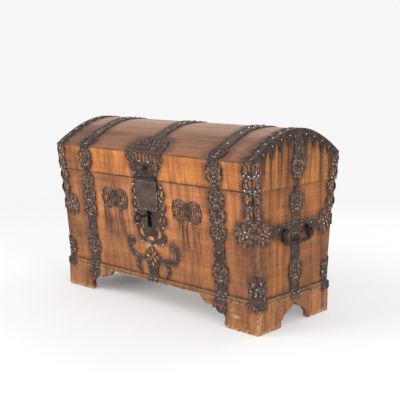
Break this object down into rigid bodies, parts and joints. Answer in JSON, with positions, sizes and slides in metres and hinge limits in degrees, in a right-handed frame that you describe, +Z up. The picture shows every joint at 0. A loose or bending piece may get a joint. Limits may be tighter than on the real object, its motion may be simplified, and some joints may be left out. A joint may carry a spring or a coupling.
{
  "type": "dome-lid chest",
  "caption": "Wooden dome-lid storage chest with leaning front, bracket feet, pierced iron straps, hinged lid, hasp, drop handles, and a turning key that throws the lock bolt.",
  "frame": {"origin": "on the floor, at the middle of the footprint (handles, key and hinges included)", "axes": "+X along the chest to the right of someone facing its front, +Y to the back, +Z up"},
  "size_m": [1.292, 0.6944, 0.8623],
  "materials": {
    "chest_wood": "old waxed, warm brown with dark stains",
    "dome_wood": "old waxed, duller greyish brown",
    "base_wood": "old waxed, worn and chipped",
    "inner_wood": "bare, aged",
    "strap_iron": "forged, tinned remains, brown patina",
    "black_iron": "forged, blackened",
    "nail_iron": "worn bright heads"
  },
  "bodies": {
    "chest": {"front_board": "chest_wood", "back_board": "chest_wood", "left_end_board": "chest_wood", "right_end_board": "chest_wood", "bottom_board": "inner_wood", "front_moulding": "base_wood", "back_moulding": "base_wood", "end_mouldings": "base_wood", "front_right_foot": "base_wood", "front_left_foot": "base_wood", "back_right_foot": "base_wood", "back_left_foot": "base_wood", "right_plinth": "base_wood", "left_plinth": "base_wood", "foot_blocks": "inner_wood", "front_right_band": "strap_iron", "front_left_band": "strap_iron", "base_ornament": "strap_iron", "lock_plate": "strap_iron", "right_end_strap": "strap_iron", "left_end_strap": "strap_iron", "right_cross_strap": "strap_iron", "left_cross_strap": "strap_iron", "upper_corner_irons": "strap_iron", "corner_palmettes": "strap_iron", "cartouches": "strap_iron", "hinge_body_straps": "strap_iron", "hinge_pins": "black_iron", "handle_eyes": "black_iron", "lock_case": "black_iron", "body_nails": "nail_iron"},
    "lid": {"lid_front_rail": "chest_wood", "lid_back_rail": "chest_wood", "lid_right_end": "chest_wood", "lid_left_end": "chest_wood", "dome_board_1": "dome_wood", "dome_board_2": "dome_wood", "dome_board_3": "dome_wood", "dome_board_4": "dome_wood", "dome_board_5": "dome_wood", "dome_right_band": "strap_iron", "dome_left_band": "strap_iron", "dome_centre_band": "strap_iron", "dome_edge_bands": "strap_iron", "lid_corner_irons": "strap_iron", "lid_end_straps": "strap_iron", "right_arch_edging": "strap_iron", "left_arch_edging": "strap_iron", "lid_ornament": "strap_iron", "hasp_pin": "black_iron", "lid_knob": "black_iron", "hinge_lid_leaves": "strap_iron", "lid_catch": "black_iron", "lid_nails": "nail_iron"},
    "hasp": {"hasp_plate": "black_iron"},
    "left_bail": {"left_handle": "black_iron"},
    "right_bail": {"right_handle": "black_iron"},
    "key": {"key": "black_iron"},
    "bolt": {"lock_bolt": "black_iron"}
  },
  "joints": [
    {"name": "lid_hinge", "type": "hinge", "parent": "chest", "child": "lid", "pos_m": [0, 0.33694, 0.612], "axis": [-1, 0, 0], "range_deg": [0, 95]},
    {"name": "hasp_hinge", "type": "hinge", "parent": "lid", "child": "hasp", "pos_m": [0, -0.28132, 0.61782], "axis": [-1, 0, 0], "range_deg": [0, 100]},
    {"name": "left_bail_hinge", "type": "hinge", "parent": "chest", "child": "left_bail", "pos_m": [-0.637, 0.02764, 0.426], "axis": [0, 1, 0], "range_deg": [0, 110]},
    {"name": "right_bail_hinge", "type": "hinge", "parent": "chest", "child": "right_bail", "pos_m": [0.637, 0.02764, 0.426], "axis": [0, -1, 0], "range_deg": [0, 110]},
    {"name": "key_turn", "type": "hinge", "parent": "chest", "child": "key", "pos_m": [0, -0.25263, 0.448], "axis": [0, 0.9948, 0.1015], "range_deg": [0, 180]},
    {"name": "bolt_slide", "type": "slide", "parent": "chest", "child": "bolt", "axis": [1, 0, 0], "range_m": [0, 0.02]}
  ],
  "couplings": [
    {"joint": "bolt_slide", "follows": "key_turn", "m_per_rad": 0.006366}
  ]
}
